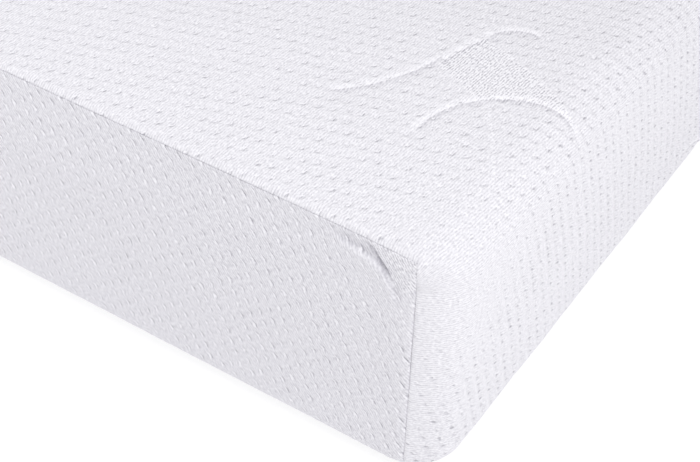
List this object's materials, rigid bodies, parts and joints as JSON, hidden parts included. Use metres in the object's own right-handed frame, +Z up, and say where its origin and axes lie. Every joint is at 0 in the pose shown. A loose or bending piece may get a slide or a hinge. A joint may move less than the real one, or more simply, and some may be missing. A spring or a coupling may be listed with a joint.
{
  "type": "memory foam mattress",
  "caption": "Rectangular foam mattress with soft rounded edges in a dimpled white knitted cover that zips across the head end.",
  "frame": {"origin": "centre of the underside", "axes": "+Z up, +X along the length towards the foot end, -Y towards the front long side; the zip is across the head end at -X"},
  "size_m": [1.903, 0.9004, 0.2],
  "materials": {
    "cover_fabric": "white knitted cover with small quilted dimples",
    "base_fabric": "plain woven base cloth",
    "liner_fabric": "fine stockinette",
    "memory_foam": "dense open-cell foam",
    "base_foam": "coarser open-cell foam",
    "seam_thread": "polyester sewing thread",
    "zip_tape": "herringbone zip tape",
    "zip_coil": "nylon coil",
    "zip_metal": "nickel plated, lightly worn",
    "label_satin": "blank satin ribbon"
  },
  "bodies": {
    "root": {"memory_foam_layer": "memory_foam", "base_foam": "base_foam", "inner_liner": "liner_fabric", "top_panel": "cover_fabric", "side_panel_front": "cover_fabric", "side_panel_back": "cover_fabric", "bottom_panel": "base_fabric", "top_seam_front": "seam_thread", "top_seam_back": "seam_thread", "corner_seam_front_head": "seam_thread", "corner_seam_front_foot": "seam_thread", "corner_seam_back_head": "seam_thread", "corner_seam_back_foot": "seam_thread", "bottom_seam": "seam_thread", "zip_end_seams": "seam_thread", "zip_tape_upper": "zip_tape", "zip_tape_lower": "zip_tape", "zip_teeth_upper": "zip_coil", "zip_teeth_lower": "zip_coil", "zip_stitch_upper": "seam_thread", "zip_stitch_lower": "seam_thread", "zip_stop_closed_end": "zip_metal", "zip_stop_open_end": "zip_metal", "care_label": "label_satin"},
    "zip_slider": {"zip_slider": "zip_metal"},
    "zip_pull": {"zip_pull": "zip_metal"}
  },
  "joints": [
    {"name": "zip_slide", "type": "slide", "parent": "root", "child": "zip_slider", "axis": [0, 1, 0], "range_m": [0, 0.791]},
    {"name": "zip_pull_swing", "type": "hinge", "parent": "zip_slider", "child": "zip_pull", "pos_m": [-0.951, -0.39595, 0.0442], "axis": [0, 0, 1], "range_deg": [0, 180]}
  ]
}
